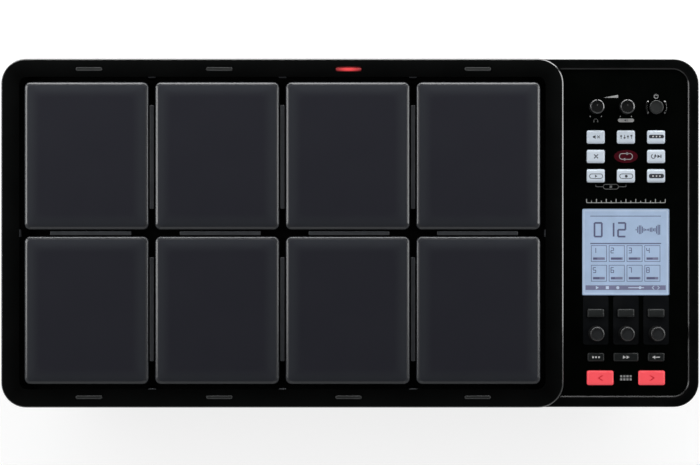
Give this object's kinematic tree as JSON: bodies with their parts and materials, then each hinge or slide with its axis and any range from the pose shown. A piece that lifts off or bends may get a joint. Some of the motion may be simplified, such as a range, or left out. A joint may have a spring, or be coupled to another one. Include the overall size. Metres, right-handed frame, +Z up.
{
  "type": "electronic percussion pad",
  "caption": "Table-top electronic percussion instrument: rubber pads in a raised frame on a wedge case, with a panel of keys, knobs and a display on the right.",
  "frame": {"origin": "on the table under the middle of the body", "axes": "+X to the player's right, +Y to the rear, +Z up"},
  "size_m": [0.531, 0.2658, 0.0918],
  "materials": {
    "case_plastic": "satin",
    "frame_gloss": "gloss",
    "panel_gloss": "gloss",
    "window": "gloss",
    "display": "lit",
    "lens": "satin",
    "chassis_steel": "satin black",
    "divider_plastic": "satin",
    "foam": "matt",
    "sensor_film": "satin",
    "board": "satin",
    "silicone": "matt",
    "plated_steel": "satin",
    "socket_plastic": "satin",
    "foot_rubber": "matt",
    "brass": "satin",
    "black_screw": "satin black",
    "pad_rubber": "matt",
    "white_key": "lit satin",
    "dark_key": "satin",
    "red_key": "lit satin",
    "power_cap": "satin",
    "knob_plastic": "satin"
  },
  "bodies": {
    "case": {"bottom_case": "case_plastic", "top_case": "case_plastic", "pad_frame": "frame_gloss", "control_panel": "panel_gloss", "display_window": "window", "display_module": "display", "pad_led_lenses": "lens", "pad_chassis": "chassis_steel", "pad_dividers": "divider_plastic", "pad_foam": "foam", "force_sensors": "sensor_film", "main_board": "board", "panel_board": "board", "keypad_mat": "silicone", "volume_pots": "plated_steel", "rotary_encoders": "plated_steel", "jack_board": "board", "phone_jacks": "socket_plastic", "data_sockets": "socket_plastic", "dc_inlet": "socket_plastic", "feet": "foot_rubber", "stand_inserts": "brass", "case_screws": "black_screw", "inner_screws": "plated_steel"},
    "pad_1": {"pad_1": "pad_rubber"},
    "pad_2": {"pad_2": "pad_rubber"},
    "pad_3": {"pad_3": "pad_rubber"},
    "pad_4": {"pad_4": "pad_rubber"},
    "pad_5": {"pad_5": "pad_rubber"},
    "pad_6": {"pad_6": "pad_rubber"},
    "pad_7": {"pad_7": "pad_rubber"},
    "pad_8": {"pad_8": "pad_rubber"},
    "white_key_1": {"white_key_1": "white_key"},
    "white_key_2": {"white_key_2": "white_key"},
    "white_key_3": {"white_key_3": "white_key"},
    "white_key_4": {"white_key_4": "white_key"},
    "white_key_5": {"white_key_5": "white_key"},
    "white_key_6": {"white_key_6": "white_key"},
    "white_key_7": {"white_key_7": "white_key"},
    "white_key_8": {"white_key_8": "white_key"},
    "function_key_1": {"function_key_1": "dark_key"},
    "function_key_2": {"function_key_2": "dark_key"},
    "function_key_3": {"function_key_3": "dark_key"},
    "menu_key": {"menu_key": "dark_key"},
    "quick_key": {"quick_key": "dark_key"},
    "back_key": {"back_key": "dark_key"},
    "kit_down_key": {"kit_down_key": "red_key"},
    "kit_up_key": {"kit_up_key": "red_key"},
    "power_button": {"power_button": "power_cap"},
    "phones_control": {"phones_knob": "knob_plastic", "phones_shaft": "plated_steel"},
    "master_control": {"master_knob": "knob_plastic", "master_shaft": "plated_steel"},
    "encoder_1_control": {"encoder_1_knob": "knob_plastic", "encoder_1_shaft": "plated_steel"},
    "encoder_2_control": {"encoder_2_knob": "knob_plastic", "encoder_2_shaft": "plated_steel"},
    "encoder_3_control": {"encoder_3_knob": "knob_plastic", "encoder_3_shaft": "plated_steel"}
  },
  "joints": [
    {"name": "pad_1_press", "type": "slide", "parent": "case", "child": "pad_1", "axis": [0, 0.1132, -0.9936], "range_m": [0, 0.0008], "stiffness_N_per_m": 3000, "springref_m": -0.0006, "deforming": ["pad_foam"]},
    {"name": "pad_2_press", "type": "slide", "parent": "case", "child": "pad_2", "axis": [0, 0.1132, -0.9936], "range_m": [0, 0.0008], "stiffness_N_per_m": 3000, "springref_m": -0.0006, "deforming": ["pad_foam"]},
    {"name": "pad_3_press", "type": "slide", "parent": "case", "child": "pad_3", "axis": [0, 0.1132, -0.9936], "range_m": [0, 0.0008], "stiffness_N_per_m": 3000, "springref_m": -0.0006, "deforming": ["pad_foam"]},
    {"name": "pad_4_press", "type": "slide", "parent": "case", "child": "pad_4", "axis": [0, 0.1132, -0.9936], "range_m": [0, 0.0008], "stiffness_N_per_m": 3000, "springref_m": -0.0006, "deforming": ["pad_foam"]},
    {"name": "pad_5_press", "type": "slide", "parent": "case", "child": "pad_5", "axis": [0, 0.1132, -0.9936], "range_m": [0, 0.0008], "stiffness_N_per_m": 3000, "springref_m": -0.0006, "deforming": ["pad_foam"]},
    {"name": "pad_6_press", "type": "slide", "parent": "case", "child": "pad_6", "axis": [0, 0.1132, -0.9936], "range_m": [0, 0.0008], "stiffness_N_per_m": 3000, "springref_m": -0.0006, "deforming": ["pad_foam"]},
    {"name": "pad_7_press", "type": "slide", "parent": "case", "child": "pad_7", "axis": [0, 0.1132, -0.9936], "range_m": [0, 0.0008], "stiffness_N_per_m": 3000, "springref_m": -0.0006, "deforming": ["pad_foam"]},
    {"name": "pad_8_press", "type": "slide", "parent": "case", "child": "pad_8", "axis": [0, 0.1132, -0.9936], "range_m": [0, 0.0008], "stiffness_N_per_m": 3000, "springref_m": -0.0006, "deforming": ["pad_foam"]},
    {"name": "white_key_1_press", "type": "slide", "parent": "case", "child": "white_key_1", "axis": [0, 0.1132, -0.9936], "range_m": [0, 0.0012], "stiffness_N_per_m": 200, "springref_m": -0.001},
    {"name": "white_key_2_press", "type": "slide", "parent": "case", "child": "white_key_2", "axis": [0, 0.1132, -0.9936], "range_m": [0, 0.0012], "stiffness_N_per_m": 200, "springref_m": -0.001},
    {"name": "white_key_3_press", "type": "slide", "parent": "case", "child": "white_key_3", "axis": [0, 0.1132, -0.9936], "range_m": [0, 0.0012], "stiffness_N_per_m": 200, "springref_m": -0.001},
    {"name": "white_key_4_press", "type": "slide", "parent": "case", "child": "white_key_4", "axis": [0, 0.1132, -0.9936], "range_m": [0, 0.0012], "stiffness_N_per_m": 200, "springref_m": -0.001},
    {"name": "white_key_5_press", "type": "slide", "parent": "case", "child": "white_key_5", "axis": [0, 0.1132, -0.9936], "range_m": [0, 0.0012], "stiffness_N_per_m": 200, "springref_m": -0.001},
    {"name": "white_key_6_press", "type": "slide", "parent": "case", "child": "white_key_6", "axis": [0, 0.1132, -0.9936], "range_m": [0, 0.0012], "stiffness_N_per_m": 200, "springref_m": -0.001},
    {"name": "white_key_7_press", "type": "slide", "parent": "case", "child": "white_key_7", "axis": [0, 0.1132, -0.9936], "range_m": [0, 0.0012], "stiffness_N_per_m": 200, "springref_m": -0.001},
    {"name": "white_key_8_press", "type": "slide", "parent": "case", "child": "white_key_8", "axis": [0, 0.1132, -0.9936], "range_m": [0, 0.0012], "stiffness_N_per_m": 200, "springref_m": -0.001},
    {"name": "function_key_1_press", "type": "slide", "parent": "case", "child": "function_key_1", "axis": [0, 0.1132, -0.9936], "range_m": [0, 0.0012], "stiffness_N_per_m": 200, "springref_m": -0.001},
    {"name": "function_key_2_press", "type": "slide", "parent": "case", "child": "function_key_2", "axis": [0, 0.1132, -0.9936], "range_m": [0, 0.0012], "stiffness_N_per_m": 200, "springref_m": -0.001},
    {"name": "function_key_3_press", "type": "slide", "parent": "case", "child": "function_key_3", "axis": [0, 0.1132, -0.9936], "range_m": [0, 0.0012], "stiffness_N_per_m": 200, "springref_m": -0.001},
    {"name": "menu_key_press", "type": "slide", "parent": "case", "child": "menu_key", "axis": [0, 0.1132, -0.9936], "range_m": [0, 0.0012], "stiffness_N_per_m": 200, "springref_m": -0.001},
    {"name": "quick_key_press", "type": "slide", "parent": "case", "child": "quick_key", "axis": [0, 0.1132, -0.9936], "range_m": [0, 0.0012], "stiffness_N_per_m": 200, "springref_m": -0.001},
    {"name": "back_key_press", "type": "slide", "parent": "case", "child": "back_key", "axis": [0, 0.1132, -0.9936], "range_m": [0, 0.0012], "stiffness_N_per_m": 200, "springref_m": -0.001},
    {"name": "kit_down_key_press", "type": "slide", "parent": "case", "child": "kit_down_key", "axis": [0, 0.1132, -0.9936], "range_m": [0, 0.0012], "stiffness_N_per_m": 200, "springref_m": -0.001},
    {"name": "kit_up_key_press", "type": "slide", "parent": "case", "child": "kit_up_key", "axis": [0, 0.1132, -0.9936], "range_m": [0, 0.0012], "stiffness_N_per_m": 200, "springref_m": -0.001},
    {"name": "power_press", "type": "slide", "parent": "case", "child": "power_button", "axis": [0, 0.1132, -0.9936], "range_m": [0, 0.002], "stiffness_N_per_m": 300, "springref_m": -0.001},
    {"name": "phones_turn", "type": "hinge", "parent": "case", "child": "phones_control", "pos_m": [0.18705, 0.09404, 0.08687], "axis": [0, -0.1132, 0.9936], "range_deg": [-150, 150]},
    {"name": "master_turn", "type": "hinge", "parent": "case", "child": "master_control", "pos_m": [0.21005, 0.09404, 0.08687], "axis": [0, -0.1132, 0.9936], "range_deg": [-150, 150]},
    {"name": "encoder_1_turn", "type": "hinge", "parent": "case", "child": "encoder_1_control", "pos_m": [0.18705, -0.07725, 0.06735], "axis": [0, -0.1132, 0.9936], "continuous": true},
    {"name": "encoder_2_turn", "type": "hinge", "parent": "case", "child": "encoder_2_control", "pos_m": [0.21005, -0.07725, 0.06735], "axis": [0, -0.1132, 0.9936], "continuous": true},
    {"name": "encoder_3_turn", "type": "hinge", "parent": "case", "child": "encoder_3_control", "pos_m": [0.23305, -0.07725, 0.06735], "axis": [0, -0.1132, 0.9936], "continuous": true}
  ]
}
